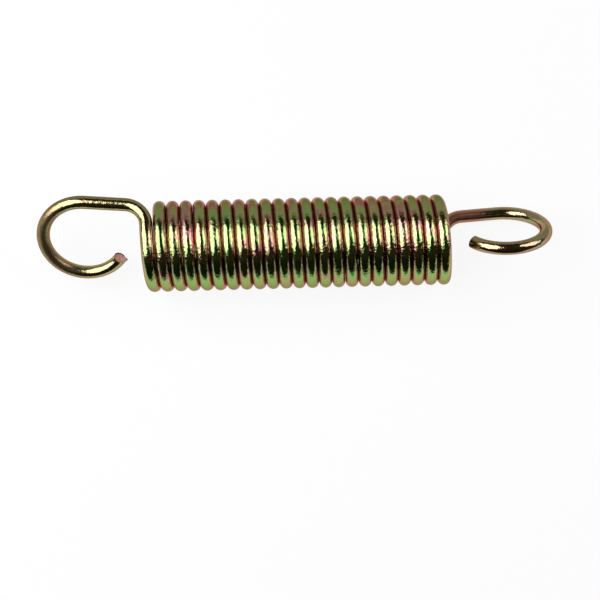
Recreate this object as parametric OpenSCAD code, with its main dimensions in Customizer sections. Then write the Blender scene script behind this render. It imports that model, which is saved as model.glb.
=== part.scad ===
/* [Wire] */
// Diameter of the wire
wire_d = 4; // [2:0.1:5]

/* [Coil] */
// Outside diameter of the coil
coil_od = 28.5; // [24:0.5:60]
// Whole turns in the coil
whole_turns = 22; // [5:1:40]
// Gap between neighbouring turns
turn_gap = 0.12; // [0.1:0.02:3]

/* [Hooks] */
// Angle between the planes of the two eyes, seen along the coil
hook_angle = 97; // [50:1:140]
// Straight wire between the coil and the bend into each leg
lead_out = 2; // [0.5:0.5:6]
// Inside radius of the bend into each leg
bend_inner_r = 5; // [3:0.5:9]
// Angle at which the legs flare away from the axis of the coil
leg_flare = 4.5; // [0:0.5:10]
// Direction of that flare: 0 is sideways, along the turns, and 90 is straight outwards
flare_side = 30; // [0:5:90]
// Length of the left leg
left_leg = 12.8; // [9:0.1:50]
// Length of the right leg
right_leg = 11.7; // [9:0.1:50]
// Inside diameter of the eyes
eye_d = 21.8; // [14:0.1:26]
// Angle round the coil from where the wire leaves it to the plane of the eye
eye_turn = 31.8; // [25:0.1:40]
// Arc of wire round the left eye
left_arc = 236; // [190:1:260]
// Arc of wire round the right eye
right_arc = 240; // [190:1:260]

/* [Hidden] */
$fn = 64;

// Radii are of the middle of the wire
coil_r = (coil_od - wire_d) / 2;
bend_r = bend_inner_r + wire_d / 2;
eye_r = (eye_d + wire_d) / 2;
pitch = wire_d + turn_gap;

// The coil is wound from half turns, each a half circle that leans over by half the pitch.
// They meet end to end along the wire, so the coil has no kinks. One lies across the middle
// of the coil, and the rest follow on both sides, up to a last arc that runs into the hook.
lean = asin(pitch / 4 / coil_r);
coil_angle = 360 * (whole_turns + 1) - hook_angle - 2 * eye_turn;
shortest_last_arc = 5;
half_turns = floor((coil_angle / 2 - 90 - shortest_last_arc) / 180);
last_arc = coil_angle / 2 - 90 - 180 * half_turns;

// Stretches of wire are numbered from the middle of the coil. Every second one is a hair
// thinner and reaches a little way into its neighbours, so they all join into one solid.
hair = 0.01;
overlap = 0.15;
function drawn_d(n) = n % 2 == 0 ? wire_d : wire_d - hair;
function reach_in(n) = n % 2 == 0 ? 0 : overlap;

// The hook is worked out beside the last arc, which starts at azimuth 0 with the axis of the
// coil along x. These directions belong to the place where the wire leaves the coil.
arc_in = [sin(lean), -cos(lean), 0];
arc_on = [0, 0, 1];
out = [1, 0, 0];
radial = [0, cos(last_arc), sin(last_arc)];
around = [0, -sin(last_arc), cos(last_arc)];
arc_start = [0, coil_r * cos(lean), 0];
arc_end = arc_start + coil_r * ((1 - cos(last_arc)) * arc_in + sin(last_arc) * arc_on);
arc_heading = sin(last_arc) * arc_in + cos(last_arc) * arc_on;

function unit(v) = v / norm(v);
function square_to(v, line) = unit(v - (v * line) * line);
leg_heading = cos(leg_flare) * out
    + sin(leg_flare) * (cos(flare_side) * around + sin(flare_side) * radial);
bend_angle = acos(arc_heading * leg_heading);
bend_start = arc_end + lead_out * arc_heading;
leg_start = bend_start + bend_r * tan(bend_angle / 2) * (arc_heading + leg_heading);
eye_in = -square_to(cos(eye_turn) * radial + sin(eye_turn) * around, leg_heading);
function leg_end(leg) = leg_start + leg * leg_heading;

// The last arcs start this far from the middle of the coil, along it and round it
last_arc_x = (2 * half_turns + 1) * pitch / 4;
last_arc_azimuth = 90 + 180 * half_turns;

// Half the length of the spring on each side of the middle of the coil
function crown_x(leg) = last_arc_x + leg_end(leg).x + wire_d / 2
    + eye_r * (eye_in.x + norm([eye_in.x, leg_heading.x]));

// The spring lies on its coil and on the end of its right leg, which stops it rolling
right_foot = leg_end(right_leg);
foot_azimuth = last_arc_azimuth + atan2(right_foot.z, right_foot.y);
lying_azimuth = -90 + acos(coil_r / norm([right_foot.y, right_foot.z]));

// Puts a stretch of wire at a point, running along one direction and curving towards another
module placed(point, heading, towards) {
    side = cross(heading, towards);
    multmatrix([
        [towards.x, side.x, heading.x, point.x],
        [towards.y, side.y, heading.y, point.y],
        [towards.z, side.z, heading.z, point.z],
        [0, 0, 0, 1]
    ])
        children();
}

module straight_wire(length, n) {
    translate([0, 0, -reach_in(n)])
        cylinder(h = length + 2 * reach_in(n), d = drawn_d(n));
}

module curved_wire(r, angle, n, cut_end = false) {
    extra = reach_in(n) / r * 180 / PI;
    translate([r, 0, 0])
        rotate([90, extra, 180])
            rotate_extrude(angle = angle + (cut_end ? 1 : 2) * extra)
                translate([r, 0])
                    circle(d = drawn_d(n));
}

module half_turn(k) {
    translate([(2 * k - 1) * pitch / 4, 0, 0])
        rotate([180 * k - 90, 0, 0])
            placed(arc_start, arc_on, arc_in)
                curved_wire(coil_r, 180, abs(k));
}

module hook(leg, arc) {
    placed(arc_end, arc_heading, square_to(leg_heading, arc_heading))
        straight_wire(lead_out, half_turns + 2);
    placed(bend_start, arc_heading, square_to(leg_heading, arc_heading))
        curved_wire(bend_r, bend_angle, half_turns + 3);
    placed(leg_start, leg_heading, eye_in)
        straight_wire(leg, half_turns + 4);
    placed(leg_end(leg), leg_heading, eye_in)
        curved_wire(eye_r, arc, half_turns + 5, cut_end = true);
}

module half_spring(leg, arc) {
    for (k = [1 : half_turns])
        half_turn(k);
    translate([last_arc_x, 0, 0])
        rotate([last_arc_azimuth, 0, 0]) {
            placed(arc_start, arc_on, arc_in)
                curved_wire(coil_r, last_arc, half_turns + 1);
            hook(leg, arc);
        }
}

module spring() {
    color("darkgoldenrod")
        translate([(crown_x(left_leg) - crown_x(right_leg)) / 2, 0, coil_od / 2])
            rotate([lying_azimuth - foot_azimuth, 0, 0]) {
                half_turn(0);
                half_spring(right_leg, right_arc);
                rotate([0, 180, 0])
                    half_spring(left_leg, left_arc);
            }
}

spring();
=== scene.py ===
import math

import bmesh
import bpy
from mathutils import Matrix, Vector, kdtree


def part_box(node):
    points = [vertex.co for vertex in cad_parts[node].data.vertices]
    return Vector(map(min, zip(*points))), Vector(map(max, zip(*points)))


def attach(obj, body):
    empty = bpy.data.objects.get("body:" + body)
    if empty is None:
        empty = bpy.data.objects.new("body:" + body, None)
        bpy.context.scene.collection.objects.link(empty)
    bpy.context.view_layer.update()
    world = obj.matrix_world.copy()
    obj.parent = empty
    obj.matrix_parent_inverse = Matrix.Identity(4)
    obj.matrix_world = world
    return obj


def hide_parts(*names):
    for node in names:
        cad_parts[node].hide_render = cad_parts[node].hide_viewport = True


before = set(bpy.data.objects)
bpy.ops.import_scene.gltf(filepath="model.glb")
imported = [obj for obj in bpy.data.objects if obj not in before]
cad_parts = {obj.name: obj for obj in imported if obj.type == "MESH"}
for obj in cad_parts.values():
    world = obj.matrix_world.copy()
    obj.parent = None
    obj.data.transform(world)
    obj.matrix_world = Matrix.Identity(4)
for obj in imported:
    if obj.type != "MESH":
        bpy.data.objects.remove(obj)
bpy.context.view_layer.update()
spring_low, spring_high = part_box("spring")


# Camera: it hangs almost straight above the spring and looks down on it, from a little in
# front, as in the photograph. The lens is a short telephoto, so the coil keeps its shape.
photo_pixels = 600
sensor_mm = 36
pixels_per_metre = 3190
camera_distance = 0.4347
camera_elevation = math.radians(82.33)
camera_yaw = math.radians(1.27)
camera_roll = math.radians(1.47)
coil_left_of_centre = 0.00115
coil_above_centre = 0.01784
coil_middle = Vector((0, 0, 0.01425))

straight_back = Vector((0, -math.cos(camera_elevation), math.sin(camera_elevation)))
straight_up = Vector((0, math.sin(camera_elevation), math.cos(camera_elevation)))
camera_axes = Matrix((Vector((1, 0, 0)), straight_up, straight_back)).transposed()
camera_axes = Matrix.Rotation(-camera_yaw, 3, straight_up) @ camera_axes
camera_axes = camera_axes @ Matrix.Rotation(-camera_roll, 3, "Z")
right, up, back = camera_axes.transposed()
bpy.ops.object.camera_add()
camera = bpy.context.object
camera.name = "camera"
aim = coil_middle + coil_left_of_centre * right - coil_above_centre * up
camera.matrix_world = Matrix.Translation(aim + camera_distance * back) @ camera_axes.to_4x4()
camera.data.sensor_width = sensor_mm
camera.data.lens = pixels_per_metre * camera_distance / photo_pixels * sensor_mm
camera.data.clip_start = 0.01
bpy.context.scene.camera = camera


# Spring: one length of hard-drawn steel wire, wound cold into a close right-hand coil. Both
# ends are led out, bent along the coil and rolled into an open hook, then sheared off.
# The wire is drawn 0.08 mm over its 4 mm, so that neighbouring turns all but touch, as the real
# ones do. The coil, bends, legs and eyes are a little under their CAD sizes, to keep to its box.
wire_d = 0.00408
coil_od = 0.02845
whole_turns = 22
turn_gap = 0.00004
hook_angle = math.radians(97)
lead_out = 0.002
bend_inner_r = 0.00496
leg_flare = math.radians(4.5)
flare_side = math.radians(30)
left_leg = 0.01257
right_leg = 0.01147
eye_d = 0.02172
eye_turn = math.radians(31.8)
left_arc = math.radians(236)
right_arc = math.radians(240)
ring_sides = 32
rings_a_turn = 80
ring_spacing = 0.001
ring_flatness = 0.00001
weld_reach = 0.000001
smooth_below = math.radians(40)

wire_r = wire_d / 2
ring_reach = 1.005 * wire_r
shear_hinge_r = 1.05 * wire_r
coil_r = coil_od / 2 - wire_r
bend_r = bend_inner_r + wire_r
eye_r = eye_d / 2 + wire_r
pitch = wire_d + turn_gap
half_coil = (math.tau * (whole_turns + 1) - hook_angle) / 2 - eye_turn
lead_angle = math.atan(pitch / (math.tau * coil_r))
coil_steps = round(half_coil / math.pi * rings_a_turn)
along = Vector((1, 0, 0))


def ring_on_coil(turned):
    """The frame of the ring of wire where the coil has turned that far from its middle."""
    turn = Matrix.Translation((pitch * turned / math.tau, 0, 0)) @ Matrix.Rotation(turned, 4, "X")
    return turn @ Matrix.Translation((0, coil_r, 0)) @ Matrix.Rotation(lead_angle, 4, "Y")


bpy.ops.object.select_all(action="DESELECT")
bpy.ops.mesh.primitive_circle_add(vertices=ring_sides, radius=wire_r)
wire = bpy.context.object
wire.name = "spring_wire"
wire.matrix_world = ring_on_coil(-half_coil)
bpy.ops.object.transform_apply(location=True, rotation=True, scale=True)
winding = wire.modifiers.new("winding", "SCREW")
winding.axis = "X"
winding.angle = 2 * half_coil
winding.screw_offset = 2 * half_coil * pitch / math.tau
winding.steps = coil_steps
winding.render_steps = coil_steps
bpy.ops.object.modifier_apply(modifier=winding.name)
coil_rings = [ring_on_coil(half_coil * (2 * i / coil_steps - 1)) for i in range(coil_steps + 1)]


def select_near(point, reach):
    """Selects the wire's vertices that lie within reach of a point, and nothing else."""
    bpy.ops.mesh.select_all(action="DESELECT")
    shape = bmesh.from_edit_mesh(wire.data)
    for vertex in shape.verts:
        vertex.select = (vertex.co - point).length < reach
    shape.select_flush(True)
    bmesh.update_edit_mesh(wire.data)


def select_ring(ring):
    """Selects the vertices of one ring of the wire, and nothing else."""
    bpy.ops.mesh.select_all(action="DESELECT")
    shape = bmesh.from_edit_mesh(wire.data)
    for vertex in shape.verts:
        offset = ring.to_3x3().transposed() @ (vertex.co - ring.translation)
        vertex.select = abs(offset.z) < ring_flatness and offset.length < ring_reach
    shape.select_flush(True)
    bmesh.update_edit_mesh(wire.data)


def draw_straight(rings, side, length):
    """Draws the selected end of the wire straight on."""
    steps = math.ceil(length / ring_spacing)
    step = side * rings[-1].col[2].to_3d() * length / steps
    for _ in range(steps):
        bpy.ops.mesh.extrude_region_move(TRANSFORM_OT_translate={"value": step})
        rings.append(Matrix.Translation(step) @ rings[-1])


def draw_arc(rings, side, radius, angle, inwards):
    """Draws the selected end of the wire on round an arc, whose centre lies inwards."""
    centre = rings[-1].translation + radius * inwards
    axis = (side * rings[-1].col[2].to_3d()).cross(inwards)
    steps = math.ceil(radius * angle / ring_spacing)
    bpy.ops.mesh.spin(steps=steps, angle=-angle, center=centre, axis=axis)
    turn = Matrix.Rotation(angle / steps, 4, axis)
    turn = Matrix.Translation(centre) @ turn @ Matrix.Translation(-centre)
    for _ in range(steps):
        rings.append(turn @ rings[-1])


def square_to(direction, line):
    """The unit vector nearest to a direction that is square to a line."""
    return (direction - direction.dot(line) * line).normalized()


def draw_hook(end, side, leg, arc):
    """Draws a hook on from an end of the coil. Returns its rings, its leg's end and its bend."""
    heading = side * end.col[2].to_3d()
    radial = square_to(end.translation, along).normalized()
    around = side * along.cross(radial)
    flare = math.cos(flare_side) * around + math.sin(flare_side) * radial
    leg_heading = side * math.cos(leg_flare) * along + math.sin(leg_flare) * flare
    eye_side = math.cos(eye_turn) * radial + math.sin(eye_turn) * around
    rings = [end]
    select_ring(end)
    draw_straight(rings, side, lead_out)
    draw_arc(rings, side, bend_r, heading.angle(leg_heading), square_to(leg_heading, heading))
    draw_straight(rings, side, leg)
    leg_end = rings[-1].translation
    draw_arc(rings, side, eye_r, arc, -square_to(eye_side, leg_heading))
    return rings, leg_end, heading.angle(leg_heading)


bpy.ops.object.mode_set(mode="EDIT")
bpy.ops.mesh.select_mode(type="VERT")
left_rings, _, left_bend = draw_hook(coil_rings[0], -1, left_leg, left_arc)
right_rings, right_foot, _ = draw_hook(coil_rings[-1], 1, right_leg, right_arc)

# The spring lies on its coil and on the end of its right leg, which sets how far it is rolled.
foot_azimuth = math.atan2(right_foot.z, right_foot.y)
lying_azimuth = -math.pi / 2 + math.acos(coil_r / math.hypot(right_foot.y, right_foot.z))
lying_roll = lying_azimuth - foot_azimuth
upward = Matrix.Rotation(-lying_roll, 3, "X") @ Vector((0, 0, 1))

# Each end was cut with side cutters: the face leans, its rim is rolled over in two steps, and
# a burr stands on the left one where the blades met, drawn out first broad and then to a point.
rim_steps = ((0.00012, 0.00012), (0.0002, 0.00005))
burr_steps = ((0.0007, 0.0003, 0.0002), (0.0003, 0.0002, 0.0001))
cut_ends = (
    (left_rings, -1, math.radians(14), burr_steps),
    (right_rings, 1, math.radians(8), ()),
)
for rings, side, cut_lean, burr_stages in cut_ends:
    select_ring(rings[-1])
    heading = side * rings[-1].col[2].to_3d()
    draw_arc(rings, side, shear_hinge_r, cut_lean, square_to(upward, heading))
    select_ring(rings[-1])
    bpy.ops.mesh.edge_face_add()
    for rim_width, rim_rise in rim_steps:
        bpy.ops.mesh.inset(thickness=rim_width, depth=rim_rise)
    heading = side * rings[-1].col[2].to_3d()
    burr_side = square_to(along, heading)
    burr = rings[-1].translation + wire_r * burr_side
    for burr_reach, burr_out, burr_on in burr_stages:
        pull = burr_out * burr_side + burr_on * heading
        select_near(burr, burr_reach)
        bpy.ops.transform.translate(value=pull)
        burr = burr + pull
bpy.ops.mesh.select_all(action="SELECT")
bpy.ops.mesh.remove_doubles(threshold=weld_reach)
bpy.ops.mesh.normals_make_consistent(inside=False)
bpy.ops.object.mode_set(mode="OBJECT")
bpy.ops.object.shade_smooth_by_angle(angle=smooth_below)

# The wire's own run is kept on its points: how far along the wire a point lies from the middle
# of the coil, and where on the round of the wire, so that film and marks follow every bend.
all_rings = left_rings[:0:-1] + coil_rings + right_rings[1:]
coil_half_length = half_coil * math.hypot(coil_r, pitch / math.tau)
left_length = lead_out + bend_r * left_bend + left_leg + eye_r * left_arc
ring_tree = kdtree.KDTree(len(all_rings))
ring_along = [-coil_half_length - left_length]
for i, ring in enumerate(all_rings):
    ring_tree.insert(ring.translation, i)
    if i > 0:
        ring_along.append(ring_along[-1] + (ring.translation - all_rings[i - 1].translation).length)
ring_tree.balance()
wire_run = wire.data.attributes.new("wire_run", "FLOAT_VECTOR", "POINT")
for vertex in wire.data.vertices:
    _, i, _ = ring_tree.find(vertex.co)
    offset = all_rings[i].to_3x3().transposed() @ (vertex.co - all_rings[i].translation)
    wire_run.data[vertex.index].vector = (ring_along[i] + offset.z, offset.x, offset.y)

wire.rotation_euler = (lying_roll, 0, 0)
wire.location = (0, 0, coil_od / 2)
bpy.ops.object.transform_apply(location=True, rotation=True, scale=True)
across = [vertex.co.x for vertex in wire.data.vertices]
wire.location.x = (spring_low.x + spring_high.x - min(across) - max(across)) / 2
bpy.ops.object.transform_apply(location=True, rotation=True, scale=True)

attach(wire, "root")
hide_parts("spring")


def linear_colour(hex_colour):
    """The linear colour, with alpha, of an sRGB hex value such as #A0B060."""
    channels = [int(hex_colour[i:i + 2], 16) / 255 for i in (1, 3, 5)]
    return [c / 12.92 if c <= 0.04045 else ((c + 0.055) / 1.055) ** 2.4 for c in channels] + [1.0]


def add_node(material, kind, settings=(), inputs=()):
    """Adds a node with its settings, and its inputs as values or as other nodes' outputs."""
    node = material.node_tree.nodes.new(kind)
    for name, value in dict(settings).items():
        setattr(node, name, value)
    for name, value in dict(inputs).items():
        if isinstance(value, bpy.types.NodeSocket):
            material.node_tree.links.new(value, node.inputs[name])
        else:
            node.inputs[name].default_value = value
    return node


# Yellow-passivated zinc: a few microns of bright electroplated zinc under a chromate film, on
# drawn wire. The film is uneven, so a mirror-like metal shows gold, green and pink in patches.
zinc = bpy.data.materials.new("yellow_passivated_zinc")
zinc.use_nodes = True
zinc.node_tree.nodes.clear()
run = add_node(zinc, "ShaderNodeAttribute", {"attribute_name": "wire_run"})
place = add_node(zinc, "ShaderNodeTexCoord")
run_parts = add_node(zinc, "ShaderNodeSeparateXYZ", {}, {"Vector": run.outputs["Vector"]})
place_parts = add_node(zinc, "ShaderNodeSeparateXYZ", {}, {"Vector": place.outputs["Object"]})
from_middle = add_node(zinc, "ShaderNodeMath", {"operation": "ABSOLUTE"}, {0: run_parts.outputs["X"]})
hook_starts = coil_half_length - 0.012
hook_is_all = coil_half_length + 0.006
on_hook = add_node(zinc, "ShaderNodeMapRange", {"interpolation_type": "SMOOTHSTEP"}, {
    "Value": from_middle.outputs["Value"], "From Min": hook_starts, "From Max": hook_is_all,
})

# Film on the coil: clouds about 9 mm across drift from green at the left to pink at the right,
# and from green on the side that drained to pink on the other. Flecks of 3 mm and streaks of
# 0.6 mm along the wire break them up. Where the turns face each other the colour is painted
# lighter and pinker, a painted reflection of light bounced between neighbouring turns. Noise
# is given per metre.
clouds_a_metre = 110.0
flecks_a_metre = 330.0
streaks_a_metre = 1600.0
streak_stretch = 0.15
cloud_share = 1.3
fleck_share = 1.4
streak_share = 0.8
pinker_to_right = 1.2
pinker_to_back = 10.0
greener_all_over = -1.34
painted_groove_light_from = 0.0007
painted_groove_light_to = 0.0019
clouds = add_node(zinc, "ShaderNodeTexNoise", {}, {
    "Vector": place.outputs["Object"], "Scale": clouds_a_metre, "Detail": 2.0, "Roughness": 0.5,
})
flecks = add_node(zinc, "ShaderNodeTexNoise", {}, {
    "Vector": run.outputs["Vector"], "Scale": flecks_a_metre, "Detail": 4.0, "Roughness": 0.6,
})
drawn = add_node(zinc, "ShaderNodeMapping", {}, {
    "Vector": run.outputs["Vector"], "Scale": (streak_stretch, 1.0, 1.0),
})
streaks = add_node(zinc, "ShaderNodeTexNoise", {}, {
    "Vector": drawn.outputs["Vector"], "Scale": streaks_a_metre, "Detail": 2.0, "Roughness": 0.6,
})
drained = add_node(zinc, "ShaderNodeMath", {"operation": "MULTIPLY_ADD"}, {
    0: place_parts.outputs["Y"], 1: pinker_to_back, 2: greener_all_over,
})
drift = add_node(zinc, "ShaderNodeMath", {"operation": "MULTIPLY_ADD"}, {
    0: place_parts.outputs["X"], 1: pinker_to_right, 2: drained.outputs["Value"],
})
cloudy = add_node(zinc, "ShaderNodeMath", {"operation": "MULTIPLY_ADD"}, {
    0: clouds.outputs["Fac"], 1: cloud_share, 2: drift.outputs["Value"],
})
flecked = add_node(zinc, "ShaderNodeMath", {"operation": "MULTIPLY_ADD"}, {
    0: flecks.outputs["Fac"], 1: fleck_share, 2: cloudy.outputs["Value"],
})
film = add_node(zinc, "ShaderNodeMath", {"operation": "MULTIPLY_ADD"}, {
    0: streaks.outputs["Fac"], 1: streak_share, 2: flecked.outputs["Value"],
})
coil_film = add_node(zinc, "ShaderNodeValToRGB", {}, {"Fac": film.outputs["Value"]})
ramp = coil_film.color_ramp
ramp.elements[0].position = 0.28
ramp.elements[0].color = linear_colour("#8AB266")
ramp.elements[1].position = 0.74
ramp.elements[1].color = linear_colour("#B68680")
for position, colour in ((0.44, "#9CB06C"), (0.56, "#A8A270")):
    ramp.elements.new(position).color = linear_colour(colour)
# Painted reflection: the sides of the wire that face the neighbouring turns are painted lighter and
# pinker, standing in for light bounced between the turns.
off_crest = add_node(zinc, "ShaderNodeMath", {"operation": "ABSOLUTE"}, {0: run_parts.outputs["Y"]})
painted_groove_light = add_node(zinc, "ShaderNodeMapRange", {"interpolation_type": "SMOOTHSTEP"}, {
    "Value": off_crest.outputs["Value"],
    "From Min": painted_groove_light_from,
    "From Max": painted_groove_light_to,
    "To Max": 0.8,
})
film_and_painted_groove_light = add_node(zinc, "ShaderNodeMix", {"data_type": "RGBA"}, {
    0: painted_groove_light.outputs["Result"], 6: coil_film.outputs["Color"], 7: linear_colour("#C69C8C"),
})

# Film on the hooks: an even olive gold at the left, greyer at the right, with pink flecks.
streaks_on_hooks = 0.4
hooks_drift_to_right = 2.0
hook_flecks = add_node(zinc, "ShaderNodeMix", {}, {
    0: streaks_on_hooks, 2: flecks.outputs["Fac"], 3: streaks.outputs["Fac"],
})
hook_drift = add_node(zinc, "ShaderNodeMath", {"operation": "MULTIPLY_ADD"}, {
    0: place_parts.outputs["X"], 1: hooks_drift_to_right, 2: hook_flecks.outputs[0],
})
hook_film = add_node(zinc, "ShaderNodeValToRGB", {}, {"Fac": hook_drift.outputs["Value"]})
ramp = hook_film.color_ramp
ramp.elements[0].position = 0.28
ramp.elements[0].color = linear_colour("#9EA06C")
ramp.elements[1].position = 0.72
ramp.elements[1].color = linear_colour("#98A272")
for position, colour in ((0.42, "#A59C70"), (0.54, "#A09E6A"), (0.62, "#AC8F7A")):
    ramp.elements.new(position).color = linear_colour(colour)
bright_film = add_node(zinc, "ShaderNodeMix", {"data_type": "RGBA"}, {
    0: on_hook.outputs["Result"], 6: film_and_painted_groove_light.outputs[2], 7: hook_film.outputs["Color"],
})

# Rubbing: the left eye was rubbed satin and browner round its far side as it was rolled.
rubbed_at = coil_half_length + 0.047
rubbed_within = 0.008
rubbed_out_to = 0.022
into_left_eye = add_node(zinc, "ShaderNodeMath", {"operation": "ADD"}, {
    0: run_parts.outputs["X"], 1: rubbed_at,
})
from_rubbing = add_node(zinc, "ShaderNodeMath", {"operation": "ABSOLUTE"}, {
    0: into_left_eye.outputs["Value"],
})
rubbed = add_node(zinc, "ShaderNodeMapRange", {"interpolation_type": "SMOOTHSTEP"}, {
    "Value": from_rubbing.outputs["Value"],
    "From Min": rubbed_within,
    "From Max": rubbed_out_to,
    "To Min": 1.0,
    "To Max": 0.0,
})
eye_film = add_node(zinc, "ShaderNodeMix", {"data_type": "RGBA"}, {
    0: rubbed.outputs["Result"], 6: bright_film.outputs[2], 7: linear_colour("#988860"),
})

# Bending marks: the straight leg of the right hook was held in the bending tool, which left it
# satin and red brown, with the drawn streaks showing through.
held_at = coil_half_length + 0.011
held_within = 0.005
held_out_to = 0.012
into_right_leg = add_node(zinc, "ShaderNodeMath", {"operation": "ADD"}, {
    0: run_parts.outputs["X"], 1: -held_at,
})
from_bending = add_node(zinc, "ShaderNodeMath", {"operation": "ABSOLUTE"}, {
    0: into_right_leg.outputs["Value"],
})
held = add_node(zinc, "ShaderNodeMapRange", {"interpolation_type": "SMOOTHSTEP"}, {
    "Value": from_bending.outputs["Value"],
    "From Min": held_within,
    "From Max": held_out_to,
    "To Min": 0.8,
    "To Max": 0.0,
})
film_colour = add_node(zinc, "ShaderNodeMix", {"data_type": "RGBA"}, {
    0: held.outputs["Result"], 6: eye_film.outputs[2], 7: linear_colour("#B07C66"),
})
handled = add_node(zinc, "ShaderNodeMath", {"operation": "MAXIMUM"}, {
    0: rubbed.outputs["Result"], 1: held.outputs["Result"],
})
bright_roughness = 0.12
satin_roughness = 0.36
satin = add_node(zinc, "ShaderNodeMapRange", {}, {
    "Value": handled.outputs["Value"], "To Min": bright_roughness, "To Max": satin_roughness,
})

# Finish: the drawn wire is a little wavy under the plating, with a ripple of 1.5 mm, the drawn
# streaks, and grit that is stronger in worn patches and fainter on the hooks. The real grit is
# finer, and is drawn at 0.5 mm so that it shows.
ripples_a_metre = 650.0
grit_a_metre = 1900.0
ripple_depth = 0.00005
streak_depth = 0.00004
grit_depth = 0.00018
grit_lost_on_hooks = 0.65
ripple = add_node(zinc, "ShaderNodeTexNoise", {}, {
    "Vector": run.outputs["Vector"], "Scale": ripples_a_metre, "Detail": 1.0, "Roughness": 0.4,
})
grit = add_node(zinc, "ShaderNodeTexNoise", {}, {
    "Vector": run.outputs["Vector"], "Scale": grit_a_metre, "Detail": 1.0, "Roughness": 0.6,
})
worn = add_node(zinc, "ShaderNodeMapRange", {}, {
    "Value": flecks.outputs["Fac"], "From Min": 0.46, "From Max": 0.60, "To Min": 0.4, "To Max": 0.85,
})
smoother = add_node(zinc, "ShaderNodeMath", {"operation": "MULTIPLY_ADD"}, {
    0: on_hook.outputs["Result"], 1: -grit_lost_on_hooks, 2: 1.0,
})
roughened = add_node(zinc, "ShaderNodeMath", {"operation": "MULTIPLY"}, {
    0: worn.outputs["Result"], 1: smoother.outputs["Value"],
})
rippled = add_node(zinc, "ShaderNodeBump", {}, {
    "Height": ripple.outputs["Fac"], "Strength": 1.0, "Distance": ripple_depth,
})
streaked = add_node(zinc, "ShaderNodeBump", {}, {
    "Height": streaks.outputs["Fac"],
    "Strength": 1.0,
    "Distance": streak_depth,
    "Normal": rippled.outputs["Normal"],
})
gritty = add_node(zinc, "ShaderNodeBump", {}, {
    "Height": grit.outputs["Fac"],
    "Strength": roughened.outputs["Value"],
    "Distance": grit_depth,
    "Normal": streaked.outputs["Normal"],
})
shine = add_node(zinc, "ShaderNodeBsdfPrincipled", {}, {
    "Base Color": film_colour.outputs[2],
    "Metallic": 1.0,
    "Roughness": satin.outputs["Result"],
    "Specular Tint": linear_colour("#D4A8A4"),
    "Normal": gritty.outputs["Normal"],
})
add_node(zinc, "ShaderNodeOutputMaterial", {}, {"Surface": shine.outputs["BSDF"]})
wire.data.materials.append(zinc)

# Sheared faces: the plating is thin and pink over the torn grain of the steel, and dull. The
# real grain is finer, and is drawn at 0.7 mm so that it shows.
tears_a_metre = 1500.0
tear_depth = 0.00012
sheared = bpy.data.materials.new("thinly_plated_sheared_steel")
sheared.use_nodes = True
sheared.node_tree.nodes.clear()
place = add_node(sheared, "ShaderNodeTexCoord")
torn = add_node(sheared, "ShaderNodeTexNoise", {}, {
    "Vector": place.outputs["Object"], "Scale": tears_a_metre, "Detail": 3.0, "Roughness": 0.6,
})
copper = add_node(sheared, "ShaderNodeValToRGB", {}, {"Fac": torn.outputs["Fac"]})
copper.color_ramp.elements[0].position = 0.35
copper.color_ramp.elements[0].color = linear_colour("#E4AC9C")
copper.color_ramp.elements[1].position = 0.65
copper.color_ramp.elements[1].color = linear_colour("#FADCD0")
tears = add_node(sheared, "ShaderNodeBump", {}, {
    "Height": torn.outputs["Fac"], "Strength": 1.0, "Distance": tear_depth,
})
dull = add_node(sheared, "ShaderNodeBsdfPrincipled", {}, {
    "Base Color": copper.outputs["Color"],
    "Metallic": 1.0,
    "Roughness": 0.8,
    "Normal": tears.outputs["Normal"],
})
add_node(sheared, "ShaderNodeOutputMaterial", {}, {"Surface": dull.outputs["BSDF"]})
wire.data.materials.append(sheared)
for face in wire.data.polygons:
    if len(face.vertices) > 4:
        face.material_index = 1


# Table and light: a plain white table under an oval soft box at the left and a smaller one at
# the right, both a little rosy. The bright wire mirrors them, a dark hood and two cards. The
# table glows, as one lit from below does, and most of the white that the camera sees is that.
soft_box_distance = 0.6
soft_box_tint = (1.06, 0.97, 1.12)


def soft_box(name, along_lean, away_lean, width, depth, radiance):
    """Adds an oval lamp that aims at the spring, leaning from overhead along it and away."""
    bpy.ops.object.light_add(type="AREA")
    lamp = bpy.context.object
    lamp.name = name
    lamp.data.shape = "ELLIPSE"
    lamp.data.size = width
    lamp.data.size_y = depth
    lamp.data.color = soft_box_tint
    lamp.data.energy = radiance * math.pi * math.pi * width * depth / 4
    turned = Matrix.Rotation(-away_lean, 4, "X") @ Matrix.Rotation(along_lean, 4, "Y")
    lamp.matrix_world = turned @ Matrix.Translation((0, 0, soft_box_distance))


def seen_in_metal_only(thing):
    """Hides a hood or card from the camera and from matt surfaces, and lets light through."""
    thing.visible_camera = False
    thing.visible_diffuse = False
    thing.visible_transmission = False
    thing.visible_shadow = False


def plain_material(name, colour):
    """Makes a material that shows one plain colour in the metal, whatever light falls on it."""
    material = bpy.data.materials.new(name)
    material.use_nodes = True
    material.node_tree.nodes.clear()
    surface = add_node(material, "ShaderNodeEmission", {}, {"Color": linear_colour(colour)})
    add_node(material, "ShaderNodeOutputMaterial", {}, {"Surface": surface.outputs["Emission"]})
    return material


soft_box(
    name="left_soft_box",
    along_lean=math.radians(-40.5),
    away_lean=math.radians(7),
    width=0.72,
    depth=0.74,
    radiance=4.0,
)
soft_box(
    name="right_soft_box",
    along_lean=math.radians(50),
    away_lean=math.radians(20),
    width=0.50,
    depth=0.42,
    radiance=2.9,
)

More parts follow.
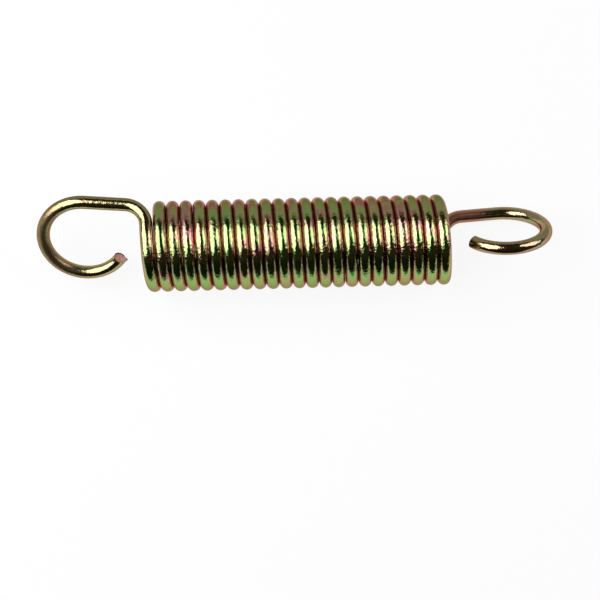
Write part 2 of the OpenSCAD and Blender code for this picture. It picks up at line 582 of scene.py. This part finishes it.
bpy.ops.mesh.primitive_plane_add(size=8.0)
table = bpy.context.object
table.name = "table"
table_glow = 0.9
white_table = bpy.data.materials.new("white_laminate_table")
white_table.use_nodes = True
white_table.node_tree.nodes.clear()
ray = add_node(white_table, "ShaderNodeLightPath")
camera_or_metal = add_node(white_table, "ShaderNodeMath", {"operation": "MAXIMUM"}, {
    0: ray.outputs["Is Camera Ray"], 1: ray.outputs["Is Glossy Ray"],
})
seen = add_node(white_table, "ShaderNodeMath", {"operation": "MAXIMUM"}, {
    0: camera_or_metal.outputs["Value"], 1: ray.outputs["Is Transmission Ray"],
})
share = add_node(white_table, "ShaderNodeMath", {"operation": "MULTIPLY"}, {
    0: seen.outputs["Value"], 1: table_glow,
})
matt = add_node(white_table, "ShaderNodeBsdfDiffuse", {}, {"Color": linear_colour("#F0F0EE")})
white = add_node(white_table, "ShaderNodeEmission", {}, {
    "Color": linear_colour("#FFFFFF"), "Strength": 1.0,
})
table_look = add_node(white_table, "ShaderNodeMixShader", {}, {
    0: share.outputs["Value"], 1: matt.outputs["BSDF"], 2: white.outputs["Emission"],
})
add_node(white_table, "ShaderNodeOutputMaterial", {}, {"Surface": table_look.outputs["Shader"]})
table.data.materials.append(white_table)

bpy.ops.mesh.primitive_uv_sphere_add(radius=2.0, segments=48, ring_count=24)
hood = bpy.context.object
hood.name = "dark_hood"
seen_in_metal_only(hood)
hood.data.materials.append(plain_material("dark_felt", "#362D24"))

cards = (
    ("front_card", 0.26, 0.09, math.radians(90), (0, -0.10, 0.045), "black_card", "#221E18"),
    ("back_card", 0.5, 0.125, math.radians(42), (0, 0.078, 0.042), "grey_card", "#B2AEA8"),
)
for name, width, height, tilt, middle, material_name, colour in cards:
    bpy.ops.mesh.primitive_plane_add(size=1.0)
    card = bpy.context.object
    card.name = name
    card.scale = (width, height, 1)
    card.rotation_euler = (tilt, 0, 0)
    card.location = middle
    seen_in_metal_only(card)
    card.data.materials.append(plain_material(material_name, colour))

room_light = 0.05
world = bpy.data.worlds.new("studio")
bpy.context.scene.world = world
world.use_nodes = True
world.node_tree.nodes.clear()
ray = add_node(world, "ShaderNodeLightPath")
camera_or_metal = add_node(world, "ShaderNodeMath", {"operation": "MAXIMUM"}, {
    0: ray.outputs["Is Camera Ray"], 1: ray.outputs["Is Glossy Ray"],
})
seen = add_node(world, "ShaderNodeMath", {"operation": "MAXIMUM"}, {
    0: camera_or_metal.outputs["Value"], 1: ray.outputs["Is Transmission Ray"],
})
fill_light = add_node(world, "ShaderNodeBackground", {}, {
    "Color": linear_colour("#FFFFFF"), "Strength": room_light,
})
backdrop = add_node(world, "ShaderNodeBackground", {}, {
    "Color": linear_colour("#FFFFFF"), "Strength": 1.0,
})
sky = add_node(world, "ShaderNodeMixShader", {}, {
    0: seen.outputs["Value"], 1: fill_light.outputs["Background"], 2: backdrop.outputs["Background"],
})
add_node(world, "ShaderNodeOutputWorld", {}, {"Surface": sky.outputs["Shader"]})

bpy.context.scene.view_settings.view_transform = "Standard"
